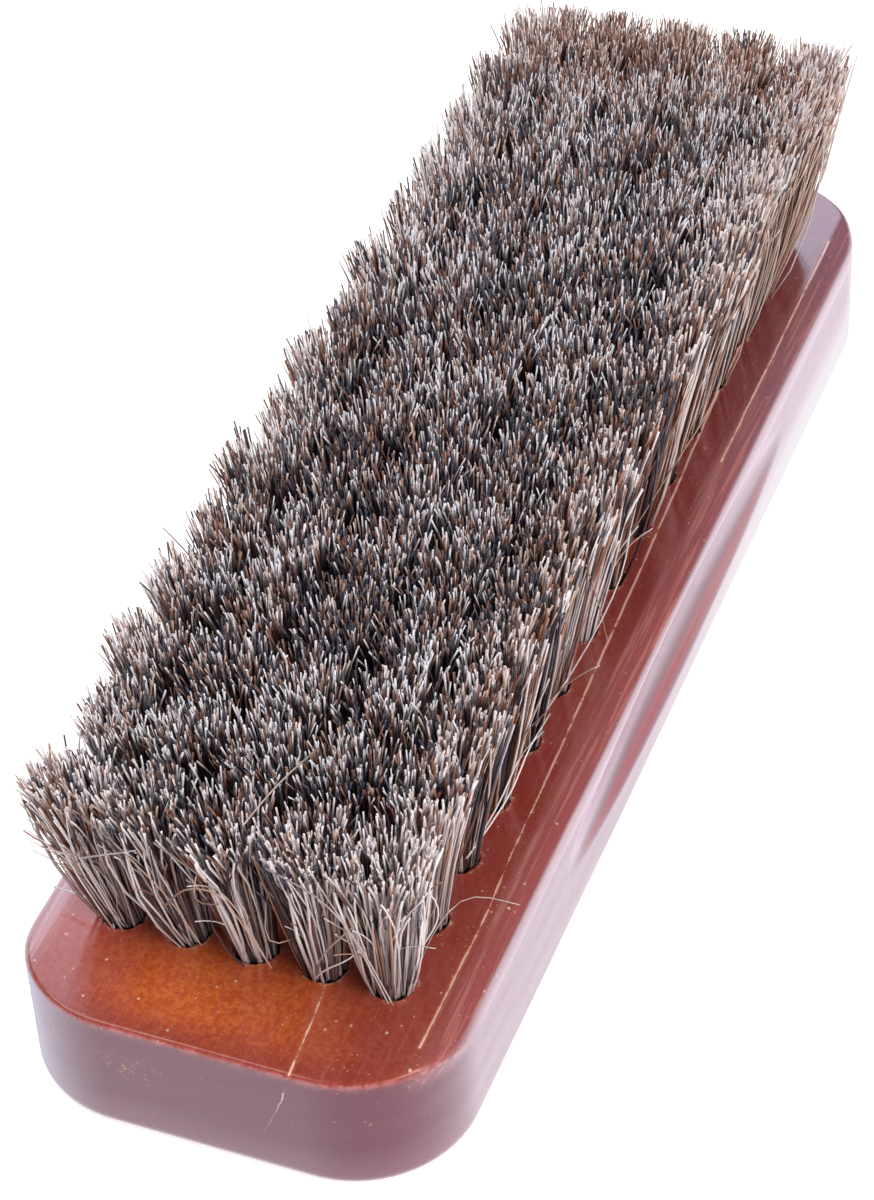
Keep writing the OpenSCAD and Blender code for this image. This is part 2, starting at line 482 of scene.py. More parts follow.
def clear_coat(tree, place, x, y, z, off_middle, on_face, normal):
    """The lacquer's gloss, and its share of the surface: more at a slant, and near the floor."""
    # A stronger, whiter reflection low on the long walls, near the floor.
    floor_gloss = times(tree, band(tree, z, 10, 2), band(tree, x, -30, 55), band(tree, off_middle, 20, 24))
    tint = mix_colour(tree, floor_gloss, (0.98, 0.87, 0.94, 1), (1, 0.99, 1, 1))
    dusty = band(tree, noise(tree, place, 2.2, 3.0, 0.7), 0.5, 0.68)
    dusty = times(tree, dusty, band(tree, x, -45, -70, 0.05, 0.3), band(tree, y, -16, -22))
    tint = mix_colour(tree, dusty, tint, (0.74, 0.62, 0.62, 1))
    tint = mix_colour(tree, on_face, tint, (0.93, 0.89, 1.0, 1))
    shaded = times(tree, band(tree, y, 10, 22), band(tree, x, -70, -80))
    tint = mix_colour(tree, shaded, tint, (0.70, 0.67, 0.76, 1))
    gloss = add(tree, "BsdfAnisotropic", {"Color": tint, "Roughness": 0.17, "Normal": normal})
    facing = add(tree, "LayerWeight", {"Blend": 0.5}).outputs["Facing"]
    slant = times(tree, math_node(tree, "POWER", facing, 2.6), 1.4)
    turned = times(tree, band(tree, z, 15.9, 15.5), band(tree, z, 13.6, 14.6))
    turned = times(tree, turned, band(tree, off_middle, 23.5, 25, 0.0, 0.4), band(tree, x, -78, -64))
    share = math_node(tree, "MULTIPLY_ADD", floor_gloss, 0.35, math_node(tree, "ADD", slant, turned))
    return gloss, add(tree, "Clamp", {0: share}).outputs[0]


# %% [markdown]
# ## The wood's material
# The layers are mixed one over another, from the stain up to the dust and the scuff, with
# painted light among them: glow, reflection, sheen, highlights, and painted shade in the holes.
# Wear makes the surface rougher, and the cracks and the painted highlight line make it lower.
# The clear coat is a second shader. It is mixed in by how much the surface slants away, because
# real lacquer mirrors most at a slant.

# %% Lacquered wood material
def make_wood():
    """Stained wood under a clear coat, with mottle, grain, cracked and rubbed lacquer and dust, and painted
    glow, reflection, sheen, highlights and shade.
    """
    material, tree, shader = new_material("lacquered_wood")
    place = scaled(tree, add(tree, "TexCoord").outputs["Object"], 1 / mm)
    x, y, z = add(tree, "SeparateXYZ", {0: place}).outputs
    off_middle = math_node(tree, "ABSOLUTE", y)
    on_face = band(tree, z, 16.0, 16.9)
    colour, mottle = stain_layer(tree, place, x, z, off_middle, on_face)

    crack_and_highlight, beside = crack_and_highlight_layer(tree, place, x, z)
    colour = mix_colour(tree, times(tree, beside, on_face), colour, (0.62, 0.20, 0.10, 1))
    # Pale cracks in the lacquer, and the painted highlight line along the shoulder's edge.
    colour = mix_colour(tree, crack_and_highlight, colour, (1.0, 0.60, 0.50, 1))
    patches = band(tree, noise(tree, place, 0.45, 4.0, 0.7), 0.38, 0.62, 0.15, 0.8)
    rubbed = times(tree, attribute(tree, "edge"), patches)
    colour = mix_colour(tree, rubbed, colour, (0.62, 0.24, 0.26, 1))
    tears = band(tree, noise(tree, place, 1.4, 4.0, 0.75), 0.50, 0.62, 0.0, 0.9)
    torn = times(tree, attribute(tree, "rim"), tears)
    colour = mix_colour(tree, torn, colour, (0.66, 0.47, 0.38, 1))
    # Painted shade: near black inside the holes.
    colour = mix_colour(tree, attribute(tree, "inside"), colour, (0.03, 0.012, 0.008, 1))
    dust = dust_layer(tree, place, x, z)
    colour = mix_colour(tree, times(tree, dust, 0.8), colour, (0.85, 0.60, 0.50, 1))
    scuff = scuff_layer(tree, place)
    colour = mix_colour(tree, times(tree, scuff, 0.7), colour, (0.66, 0.30, 0.15, 1))

    scratched = math_node(tree, "MAXIMUM", crack_and_highlight, rubbed)
    wear = math_node(tree, "MAXIMUM", scratched, math_node(tree, "MAXIMUM", scuff, dust))
    satin = band(tree, noise(tree, place, 0.3, 3.0), 0.3, 0.7, 0.20, 0.30)
    roughness = math_node(tree, "ADD", satin, times(tree, wear, 0.3))
    height = math_node(tree, "SUBTRACT", times(tree, mottle, 0.2), times(tree, crack_and_highlight, 1.2))
    height = math_node(tree, "ADD", height, dust)
    normal = add(tree, "Bump", {"Strength": 0.3, "Distance": 0.05 * mm, "Height": height}).outputs[0]
    fill(tree, shader, {"Base Color": colour, "Roughness": roughness, "Normal": normal})
    shader.inputs["Specular IOR Level"].default_value = 0.4

    gloss, share = clear_coat(tree, place, x, y, z, off_middle, on_face, normal)
    surface = add(tree, "MixShader", {0: share, 1: shader.outputs[0], 2: gloss.outputs[0]})
    tree.links.new(surface.outputs[0], tree.nodes["Material Output"].inputs[0])
    return material


wood = make_wood()
print("wood material has", len(wood.node_tree.nodes), "nodes")

# %% [markdown]
# ## The block's skin
# The construction model has the block's exact solid. Its skin is made again here, because a
# hand-sanded block is never quite flat: slow waves in the lacquer are what bend the light along
# the shoulder into streaks, and each drilled hole has a raised, torn rim.
#
# The skin is one closed surface in two parts. A band of columns runs from the drilled field out
# over the shoulder, down the wall and under to the middle of the back. The drilled field itself
# is a grid of rectangular cells, each with a round hole in it.

# %% Outline of the block and of the drilled field
points_per_quarter = 60


def outline(shares):
    """The block's outline at shares of its length: four quarter rounds joined by straights."""
    quarter = np.linspace(0, np.pi / 2, points_per_quarter)
    turns = np.concatenate([quarter + k * np.pi / 2 for k in range(4)])
    middle_x = np.repeat([1, -1, -1, 1], points_per_quarter) * (half_long - corner_radius)
    middle_y = np.repeat([1, 1, -1, -1], points_per_quarter) * (half_wide - corner_radius)
    x = np.concatenate([[half_long], middle_x + corner_radius * np.cos(turns), [half_long]])
    y = np.concatenate([[0], middle_y + corner_radius * np.sin(turns), [0]])
    normal = np.concatenate([[0], turns, [2 * np.pi]])
    length = np.concatenate([[0], np.cumsum(np.hypot(np.diff(x), np.diff(y)))])
    at = shares * length[-1]
    turn = np.interp(at, length, normal)
    return np.stack([np.interp(at, length, x), np.interp(at, length, y)], -1), turn


sides_per_cell = 8
field_half_x, field_half_y = rows * row_pitch / 2, tufts_in_row * tuft_pitch / 2


def field_edge():
    """The drilled field's edge, a rectangle, with the same points as the cells inside it."""
    ends, longs = tufts_in_row * sides_per_cell, rows * sides_per_cell
    x_side = np.linspace(field_half_x, -field_half_x, longs, endpoint=False)
    y_side = np.linspace(-field_half_y, field_half_y, ends, endpoint=False)
    x = np.concatenate([np.full(ends, field_half_x), x_side, np.full(ends, -field_half_x), -x_side])
    y = np.concatenate([y_side, np.full(longs, field_half_y), -y_side, np.full(longs, -field_half_y)])
    return np.roll(np.stack([x, y], -1), -ends // 2, axis=0)


edge_points = field_edge()
columns = len(edge_points)
print("the skin has", columns, "columns round the field")


# %% [markdown]
# ## The band round the drilled field
# The moulded shoulder, the finger groove and the softened back edge are each a height or a
# distance that depends on the place, so the whole band is one grid. Each row of the grid runs
# once round the block. Sine waves then move its points in or out by a few hundredths of a
# millimetre, except on the flat back.

# %% Shape of the band from the field to the back
face_rows, shoulder_rows, wall_rows, bend_rows = 4, 19, 30, 8
back_shares = [0.1, 0.35, 0.7, 1.0]


def waves(x, y, z):
    """Slow unevenness of hand-sanded lacquer: a few sine waves, long along the block."""
    x, y, z = x / mm, y / mm, z / mm
    calm = (0.25 + 0.75 * smooth_step(86, 66, np.abs(x))) * (1 - 0.7 * smooth_step(-5, 35, x))
    slow = np.sin(0.11 * x + 0.5 * z) * np.sin(0.31 * y + 0.9 * z + 0.04 * x)
    quick = np.sin(0.23 * x - 0.8 * z + 1.3) * np.sin(0.9 * z + 0.47 * y)
    return calm * (0.026 * slow + 0.009 * quick) * mm


def shoulder_height(y):
    """Height of the face across the block: flat, a gentle slope, then a tight turn to the wall."""
    share = np.clip((np.abs(y) - half_wide + shoulder_radius) / shoulder_radius, 0, 1)
    return face_height - 1.3 * mm * share**1.7 - 1.15 * mm * (1 - np.sqrt(1 - share**7))


def arris_drop(inset):
    """How far a rounded edge lies below the face, at an inset from the outline."""
    left = np.clip(arris_radius - inset, 0, arris_radius)
    return arris_radius - np.sqrt(arris_radius**2 - left**2)


def groove_depth(x):
    """How deep the groove is along the block, below 0 past its ends."""
    return groove_deep * (1 - (x / groove_half_length) ** 2)


def groove_half_height(depth):
    """Half the chord that a round cutter leaves: the root of r squared less (r - depth) squared."""
    square = groove_cutter_radius**2 - (groove_cutter_radius - depth) ** 2
    return np.sqrt(np.maximum(square, 1e-12))


def groove_wall(x, z):
    """How far out the wall stands: half the width, less the depth times 1 - away to a power.

    Away is the height from the groove's middle as a share of its half height. The power is
    higher below the middle, so the lower lip is steep and the upper one soft.
    """
    depth = groove_depth(x)
    away = np.abs(z - groove_middle) / groove_half_height(depth)
    power = np.where(z < groove_middle, 3.6, 2.0)
    inside = (depth > 0) & (away < 1.6)
    return np.where(inside, half_wide - depth * (1 - away**power), 1.0)


def face_and_shoulder(around, out):
    """Rows from the field's edge to the outline, closer together over the shoulder."""
    to_field = edge_points - around
    far = np.linalg.norm(to_field, axis=1)
    step = shoulder_radius * (1 - np.cos(np.linspace(0, np.pi / 2, shoulder_rows)))
    share = np.concatenate([np.linspace(1, 0, face_rows + 1)[:-1], np.zeros(shoulder_rows)])
    inward = np.concatenate([np.zeros(face_rows), step[::-1]])
    walk = share[:, None] * (far - shoulder_radius) + shoulder_radius
    walk = np.where(share[:, None] > 0, walk, inward[:, None])
    xy = around + walk[..., None] * (to_field / far[:, None])
    inset = -((xy - around) * out).sum(-1)
    z = shoulder_height(xy[..., 1]) - arris_drop(inset)
    return np.concatenate([xy, z[..., None]], -1)


def wall_and_back(around, out, top_edge):
    """Rows down the wall, round the back's edge and in to the middle of the back."""
    wall_share = np.linspace(1, 0, wall_rows + 1)[1:, None]
    wall_z = back_edge_radius + (top_edge - back_edge_radius) * wall_share
    wall_xy = np.broadcast_to(around, (wall_rows, columns, 2))
    bend = np.linspace(0, np.pi / 2, bend_rows + 1)[1:, None]
    under_xy = around - (back_edge_radius * (1 - np.cos(bend)))[..., None] * out
    under_z = np.broadcast_to(back_edge_radius * (1 - np.sin(bend)), (bend_rows, columns))
    spine = np.stack([np.clip(around[:, 0], -60 * mm, 60 * mm), np.zeros(columns)], -1)
    back_xy = under_xy[-1] + (spine - under_xy[-1]) * np.array(back_shares)[:, None, None]
    back_z = np.zeros((len(back_shares), columns))
    parts = [(wall_xy, wall_z), (under_xy, under_z), (back_xy, back_z)]
    return np.concatenate([np.concatenate([xy, z[..., None]], -1) for xy, z in parts])


def block_band():
    """The band's points, in rows from the field's edge to the middle of the back.

    With them come two values per point: how worn the edge is, and how near the groove's lip.
    """
    around, turn = outline(np.arange(columns) / columns)
    out = np.stack([np.cos(turn), np.sin(turn)], -1)
    top = face_and_shoulder(around, out)
    points = np.concatenate([top, wall_and_back(around, out, top[-1, :, 2])])

    x, y, z = np.moveaxis(points, -1, 0)
    near = np.abs(y) > half_wide - shoulder_radius
    cut = soft_lower(np.abs(y), groove_wall(x, z), 0.25 * mm)
    points[..., 1] = np.where(near, np.sign(y) * cut, y)
    worn = np.exp(-((np.arange(len(points)) - len(top) + 2.2) ** 2) / 2.5)[:, None]
    worn = worn * smooth_step(23 * mm, 18 * mm, np.abs(points[..., 1]))
    depth = np.maximum(groove_depth(x), 0.01 * mm)
    away = (groove_middle - z) / groove_half_height(depth)
    lip = np.exp(-(((away - 0.88) / 0.12) ** 2)) * smooth_step(0.1 * mm, 0.6 * mm, depth)
    return points, worn, lip * near


def grid_normals(points):
    """Unit normals of a grid that closes round its columns, from its neighbours' differences."""
    round_way = np.roll(points, -1, 1) - np.roll(points, 1, 1)
    row_way = np.gradient(points, axis=0)
    normal = np.cross(row_way, round_way)
    return normal / np.maximum(np.linalg.norm(normal, axis=-1, keepdims=True), 1e-12)


band_points, band_worn, band_lip = block_band()
flat_back = band_points[..., 2] < 1e-6
outward = grid_normals(band_points) * np.where(flat_back, 0, 1)[..., None]
band_points = band_points + outward * waves(*np.moveaxis(band_points, -1, 0))[..., None]
print("band grid:", band_points.shape[:2], "rows and columns")


# %% [markdown]
# ## The drilled holes
# A drill tears the lacquer as it goes in, so each hole has a raised rim of its own, a little
# out of round. A hole could be cut with a Boolean, but 75 of them leave long thin faces that
# shade badly. Instead each hole is a stack of rings, from the cell's edge down to its floor.

# %% Shape of the drilled cells
def cell_points(row, tuft, dice):
    """One cell: rings that turn from its four-sided edge into the hole's torn rim and wall."""
    middle, out = hole_frame(row, tuft)
    half = np.array([row_pitch, tuft_pitch]) / 2
    walk = np.linspace(-1, 1, sides_per_cell, endpoint=False)
    one = np.ones(sides_per_cell)
    square = [np.concatenate([one, -walk, -one, walk]), np.concatenate([walk, one, -walk, -one])]
    edge = np.stack(square, -1) * half
    turn = np.arctan2(edge[:, 1], edge[:, 0])
    ring = np.stack([np.cos(turn), np.sin(turn)], -1)
    uneven = dice.normal(0, 0.09, len(turn)) + 0.08 * np.sin(2 * turn + dice.uniform(0, 6))
    lip = np.clip(dice.normal(0.10, 0.06, len(turn)), 0.0, 0.25)
    wider, unevenly = np.array([[0.55, 0.28, 0.08, -0.02, -0.06], [0, 0.6, 1, 0.5, 0]])[..., None]
    raised, lower = np.array([[0, 0.35, 1, 0.2, 0], [0, 0, 0, -0.15, -0.8]])[..., None]
    radii = (hole_radius / mm + wider + uneven * unevenly) * mm
    lifts = (raised * lip + lower) * mm
    rings = [edge, edge + (ring * radii[0][:, None] - edge) * 0.6]
    rings += [ring * radius[:, None] for radius in radii]
    heights = [np.zeros(len(turn))] * 2 + list(lifts)
    flat = np.stack([np.concatenate([r, h[:, None]], -1) for r, h in zip(rings, heights)])
    deep = [flat[-1] - out * depth for depth in (2 * mm, 5 * mm, hole_depth)]
    deep.append(np.broadcast_to(-out * hole_depth, deep[0].shape))
    points = np.concatenate([flat, np.stack(deep)]) + middle
    worn = np.array([0, 0, 0.15, 0.8, 1, 0.5, 0, 0, 0, 0, 0])[:, None] * np.ones(len(turn))
    # Painted shade: the hole's wall turns near black further in.
    hole_shade = np.array([0, 0, 0, 0, 0, 0.3, 1, 1, 1, 1, 1])[:, None] * np.ones(len(turn))
    return points, worn, hole_shade


def make_block():
    """The band and the cells as one mesh, joined where their edges meet."""
    dice = np.random.default_rng(7)
    points, quads = [band_points.reshape(-1, 3)], [grid_faces(len(band_points), columns, True)]
    none = np.zeros(band_worn.size)
    values = {"edge": [band_worn.ravel()], "rim": [none], "inside": [none], "lip": [band_lip.ravel()]}
    count = band_worn.size
    for row in range(rows):
        for tuft in range(tufts_in_row):
            cell, worn, hole_shade = cell_points(row, tuft, dice)
            cell[..., 2] += waves(cell[..., 0], cell[..., 1], np.full(cell.shape[:2], face_height))
            points.append(cell.reshape(-1, 3))
            quads.append(grid_faces(len(cell), cell.shape[1], True) + count)
            values["edge"].append(np.zeros(worn.size))
            values["lip"].append(np.zeros(worn.size))
            values["rim"].append(worn.ravel())
            values["inside"].append(hole_shade.ravel())
            count += worn.size
    values = {name: np.concatenate(parts) for name, parts in values.items()}
    mesh = new_mesh("block_skin", np.concatenate(points), np.concatenate(quads), values=values)
    work = bmesh.new()
    work.from_mesh(mesh)
    bmesh.ops.remove_doubles(work, verts=work.verts, dist=0.002 * mm)
    bmesh.ops.dissolve_degenerate(work, edges=work.edges, dist=0.0005 * mm)
    bmesh.ops.recalc_face_normals(work, faces=work.faces)
    open_edges = sum(1 for e in work.edges if len(e.link_faces) != 2)
    work.to_mesh(mesh)
    work.free()
    print("block skin:", len(mesh.polygons), "faces,", open_edges, "open edges")
    return mesh


block = new_piece("wooden_block", make_block(), wood)
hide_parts("block")

# %% [markdown]
# ## Horsehair
# The tufts mix hair from manes and tails: most of it is near black or dark brown, some chestnut,
# and some pale grey or straw. A ramp turns a random number, kept on each hair, into its tone.
# The trimmed tip gets a painted highlight, where it catches the light. Below it the hair inside
# the brush gets painted shade, and the outer hair of the near end gets painted shade towards its
# roots.

# %% Horsehair material
def make_hair():
    """A glossy fibre: a tone from the hair's own number, a painted highlight on the tip, and painted shade
    below it and at the near end's roots.
    """
    material, tree, shader = new_material("horsehair")
    tone, along = attribute(tree, "tone"), attribute(tree, "along")
    stops = [
        (0.0, (0.026, 0.029, 0.062)),
        (0.27, (0.040, 0.037, 0.066)),
        (0.34, (0.085, 0.034, 0.022)),
        (0.44, (0.190, 0.062, 0.034)),
        (0.56, (0.34, 0.15, 0.090)),
        (0.66, (0.64, 0.44, 0.32)),
        (0.76, (0.58, 0.55, 0.61)),
        (0.88, (0.93, 0.91, 0.98)),
    ]
    colour = ramp(tree, tone, stops)
    # Painted highlight: the pale hairs' tips turn bluish white.
    tip_highlight = times(tree, band(tree, along, 0.93, 1.0, 0.0, 0.6), band(tree, tone, 0.52, 0.75, 0.06, 1.0))
    colour = mix_colour(tree, tip_highlight, colour, (0.93, 0.92, 1.0, 1))
    sheltered = attribute(tree, "sheltered")
    outer = math_node(tree, "SUBTRACT", 1.0, sheltered)
    colour = mix_colour(tree, outer, colour, (1.0, 0.93, 0.88, 1), "MULTIPLY")
    x = add(tree, "SeparateXYZ", {0: add(tree, "TexCoord").outputs["Object"]}).outputs[0]
    # Painted shade: the near end's outer hair darkens towards its roots.
    root_shade = times(tree, band(tree, along, 0.8, 0.3, 0.0, 0.68), band(tree, tone, 0.9, 0.7, 0.35, 1.0))
    root_shade = times(tree, root_shade, band(tree, x, -65 * mm, -45 * mm, 1.0, 0.1), outer)
    colour = mix_colour(tree, root_shade, colour, (0.10, 0.075, 0.075, 1))
    # Painted shade: hair inside the brush darkens just below its tip.
    inner_shade = times(tree, band(tree, along, 0.988, 0.925, 0.0, 0.58), sheltered)
    colour = mix_colour(tree, inner_shade, colour, (0.050, 0.045, 0.070, 1))
    fill(tree, shader, {"Base Color": colour, "Roughness": 0.34, "Specular IOR Level": 0.6})
    return material


hair = make_hair()
print("hair material has", len(hair.node_tree.nodes), "nodes")

# %% [markdown]
# ## Sweeping a hair
# A hair is a thin tube along a curve. All the hairs of a row are swept at once: an array holds
# the points of every curve, and three points stand round each of them. Three sides are enough,
# because a hair is narrower than a pixel or two, and smooth shading rounds it off.

# %% Sweep many hairs at once
hair_sides = 3


def hair_shares(steps):
    """Shares along a hair, from 0 to 1, that lie closer together towards its tip."""
    return 1 - (1 - np.linspace(0, 1, steps)) ** 1.7


def sweep(paths, radii, turns):
    """Tubes along paths (hairs, points, 3): at each point, a ring across the path's direction."""
    direction = np.gradient(paths, axis=1)
    direction /= np.linalg.norm(direction, axis=-1, keepdims=True)
    start = np.broadcast_to(direction[:, :1], direction.shape)
    helper = np.where(np.abs(start[..., :1]) < 0.8, [[[1.0, 0, 0]]], [[[0, 1.0, 0]]])
    first = helper - (helper * direction).sum(-1, keepdims=True) * direction
    first /= np.linalg.norm(first, axis=-1, keepdims=True)
    second = np.cross(direction, first)
    angle = turns[:, None, None] + np.arange(hair_sides) * 2 * np.pi / hair_sides
    around = np.cos(angle)[..., None] * first[:, :, None]
    around = around + np.sin(angle)[..., None] * second[:, :, None]
    return paths[:, :, None] + around * radii[..., None, None]


def hair_mesh(name, paths, radii, turns, tones, outer):
    """One mesh of many tubes, closed at both ends, with each hair's tone and place along it."""
    hairs, steps = paths.shape[:2]
    sides = hair_sides
    points = sweep(paths, radii, turns)
    one = grid_faces(steps, sides, True)
    first = np.arange(hairs) * steps * sides
    quads = (one[None] + first[:, None, None]).reshape(-1, 4)
    fan = np.stack([np.zeros(sides - 2, int), np.arange(1, sides - 1), np.arange(2, sides)], -1)
    caps = np.concatenate([fan[:, ::-1], fan + (steps - 1) * sides])
    triangles = (caps[None] + first[:, None, None]).reshape(-1, 3)
    along = np.broadcast_to(hair_shares(steps)[None, :, None], points.shape[:3])
    tone = np.broadcast_to(tones[:, None, None], points.shape[:3])
    sheltered = 1 - np.broadcast_to(outer[:, None, None], points.shape[:3])
    values = {"tone": tone, "along": along, "sheltered": sheltered}
    mesh = new_mesh(name, points.reshape(-1, 3), quads, triangles, values)
    lay_out_hairs(mesh, hairs, steps, len(quads))
    return mesh


def lay_out_hairs(mesh, hairs, steps, quad_count):
    """A flat layout where each hair has a small cell of its own, for pictures of its colour."""
    cells, sides = math.ceil(math.sqrt(hairs)), hair_sides
    row, side = np.divmod(np.arange((steps - 1) * sides), sides)
    across = np.stack([side, side + 1, side + 1, side], -1) / sides
    up = np.stack([row, row, row + 1, row + 1], -1) / (steps - 1)
    one = np.stack([across, up], -1) * 0.8 + 0.1
    cell = np.stack(np.divmod(np.arange(hairs), cells), -1)
    body = (one[None] + cell[:, None, None]) / cells
    cap_faces = len(mesh.polygons) - quad_count
    each = cap_faces // hairs
    corner = np.array([[0.1, 0.1], [0.9, 0.1], [0.5, 0.15]])
    ends = np.stack([corner if k < each // 2 else corner * [1, -1] + [0, 1] for k in range(each)])
    caps = (ends[None] + cell[:, None, None]) / cells
    layer = mesh.uv_layers.new(name="OFBake")
    places = np.concatenate([body.reshape(-1, 2), caps.reshape(-1, 2)])
    layer.uv.foreach_set("vector", places.astype(np.float32).ravel())


print("sweep ready")

# %% [markdown]
# ## The tufts
# Hairs leave a hole as a tight round bundle and open out, until their tips fill a rectangle with
# no gap to the next tuft. Each hair follows a curve set by three points: its root in the hole, a
# point straight above it, and its tip on the trimmed plane. A slow bend and a small wave make no
# two alike. Tufts at the ends and sides have nothing to lean on, so they splay, and along the
# left side each keeps to itself as a lobe.

# %% Build the rows of tufts
hairs_in_tuft = 350
hair_steps = 6
hair_radius = 0.128 * mm
root_depth, upright_length = 2.5 * mm, 9 * mm
right_tuft, left_tuft = 0, tufts_in_row - 1


def hairs_in(row):
    """Hairs in each tuft of a row: finer and more of them towards the far end."""
    return round(hairs_in_tuft * (1 + 0.6 * smooth_step(0.3, 0.9, row_share(row))))


def blend(root, bend_at, tip, t):
    """Curves at shares t: root, bend and tip, weighted (1 - t) squared, 2t(1 - t), t squared."""
    return (1 - t) ** 2 * root[:, None] + 2 * t * (1 - t) * bend_at[:, None] + t**2 * tip[:, None]


def on_plane(offsets):
    """Level offsets as three-part vectors."""
    return np.concatenate([offsets, np.zeros((len(offsets), 1))], -1)


def tuft_tips(row, tuft, reach, disc, dice):
    """The tips of one tuft's hairs, with how far outward, how loose and how ragged each is."""
    middle, out = hole_frame(row, tuft)
    count = len(reach)
    square = disc / np.abs(disc).max(-1, keepdims=True)
    spread = reach[:, None] * (0.75 * square + 0.25 * disc)
    shares = np.array([row_share(row), tuft_share(tuft)])
    outward = np.clip(spread * smooth_step(0.9, 1.0, np.abs(shares)) * np.sign(shares), 0, 1)
    fan = 0.24 * smooth_step(0.2, 0.9, row_share(row)) if tuft == right_tuft else 0.0
    splay = 1.08 + np.array([0.10, 0.12 + fan]) * outward
    splay[:, 0] -= (0.34 if tuft == left_tuft else 0.16) * outward[:, 1]
    loose = 1 - 0.6 * smooth_step(0.35, 0.85, outward)
    half = np.array([row_pitch, tuft_pitch]) / 2
    offset = spread * half * splay + dice.normal(0, 0.5 * mm, (count, 2)) * loose
    tip = on_plane((middle + out / out[2] * hair_length)[:2] + offset)
    tip[:, 1] += dice.normal(0, (0.9 if tuft == left_tuft else 0.5) * mm) * outward[:, 1]
    clump = offset[dice.integers(0, count // 6, count)] - offset
    tip[:, :2] += 0.16 * clump * (np.linalg.norm(clump, axis=-1) < 2.2 * mm)[:, None]

    ragged = 0.3 * outward[:, 1] * (tuft == right_tuft) + 0.3 * outward[:, 0] * (row == 0)
    x = tip[:, 0] / mm
    trim = dice.normal(0, 1, count) * (0.42 + ragged - 0.26 * smooth_step(56, 72, x)) * mm
    lean_in = 0.6 + 1.2 * smooth_step(52, 68, x) + 0.8 * smooth_step(-58, -70, x)
    tip[:, 1] -= lean_in * mm * smooth_step(2 * mm, 20 * mm, tip[:, 1])
    worn_down = smooth_step(58, 76, x) * smooth_step(-2 * mm, 22 * mm, tip[:, 1])
    tip[:, 2] = face_height + hair_length + trim - 1.1 * mm * worn_down
    return tip, outward, loose, ragged


def tuft_paths(row, tuft, dice):
    """Curves of one tuft's hairs: a three-point blend from root to tip, bent and waved."""
    middle, out = hole_frame(row, tuft)
    count = hairs_in(row)
    reach, turn = np.sqrt(dice.uniform(0, 1, count)), dice.uniform(0, 2 * np.pi, count)
    disc = np.stack([np.cos(turn), np.sin(turn)], -1)
    foot = reach[:, None] * disc * hole_radius * 0.86
    tip, outward, loose, ragged = tuft_tips(row, tuft, reach, disc, dice)
    root = middle + on_plane(foot) - out * root_depth
    bend_at = root + out * (root_depth + upright_length) + on_plane(foot * 0.25)
    is_short = dice.uniform(0, 1, count) < 0.14 + 0.3 * ragged
    short = np.where(is_short, dice.uniform(0.03, 0.25, count), 0)
    shares = hair_shares(hair_steps)[None, :, None]
    t = shares * (1 - short)[:, None, None]
    path = blend(root, bend_at, tip, t)

    way = dice.uniform(0, 2 * np.pi, count)
    far_right = (tuft == right_tuft) * smooth_step(0.1, 0.7, row_share(row))
    tangle = 1 + 1.6 * outward[:, 0] * (row == 0) + 1.3 * outward[:, 1] * far_right
    t = t[..., 0]
    bow = (dice.normal(0, 0.45 * mm, count) * tangle)[:, None] * np.sin(np.pi * t)
    swing = (dice.normal(0, 0.22 * mm, count) * tangle)[:, None]
    wave = swing * np.sin(7 * t + dice.uniform(0, 6, count)[:, None]) * t
    path[..., 0] += (bow + wave) * np.cos(way)[:, None]
    path[..., 1] += (bow + wave) * np.sin(way)[:, None]
    path[..., :2] += dice.normal(0, 0.85 * mm, (count, 1, 2)) * shares**7 * loose[:, None]
    return path


def sine_patches(x, y, waves_across):
    """Soft patches over the brush: a sum of sine waves, given as (x share, y share, start)."""
    return sum(np.sin(a * x + b * y + start) for a, b, start in waves_across)


def hair_tones(x, y, right, near, left, dice):
    """A tone for each hair, by its tip's place: paler sides as painted light on the lit outer hair, a brown
    far end, and soft patches.
    """
    # Painted light: the outer hair of the sides and of the near end's corners is made paler where the lamps
    # fall on it.
    lit_right = 0.08 + 0.2 * smooth_step(-40, -70, x) + 0.62 * smooth_step(20, 50, x)
    lit_near = 0.02 + 0.32 * smooth_step(8, 16, np.abs(y))
    pale = np.clip(lit_right * right + lit_near * near + 0.3 * left, 0, 0.7)
    tones = 0.5 + (dice.uniform(0, 1, len(x)) - 0.5) * (1 + 0.6 * near)
    light = 0.135 * smooth_step(-30, -70, x) + 0.05 * smooth_step(5, 45, x)
    patch = sine_patches(x, y, [(0.21, 0.16, 1), (-0.13, 0.34, 0), (0.47, 0.31, 2)])
    tones = np.clip(tones + light + 0.075 * patch - 0.02, 0, 1)
    rusty = sine_patches(x, y, [(0.29, -0.24, 4), (0.17, 0.41, 0), (0.55, 0.13, 5)])
    brown = 0.7 * smooth_step(56, 72, x) + 0.22 * smooth_step(0.3, 2.0, rusty)
    tones = np.where(dice.uniform(0, 1, len(x)) < brown, 0.38 + 0.36 * tones, tones)
    lit_pale_tone = 0.60 + (0.40 - 0.2 * right * smooth_step(10, 50, x)) * tones
    return np.where(dice.uniform(0, 1, len(x)) < pale, lit_pale_tone, tones)


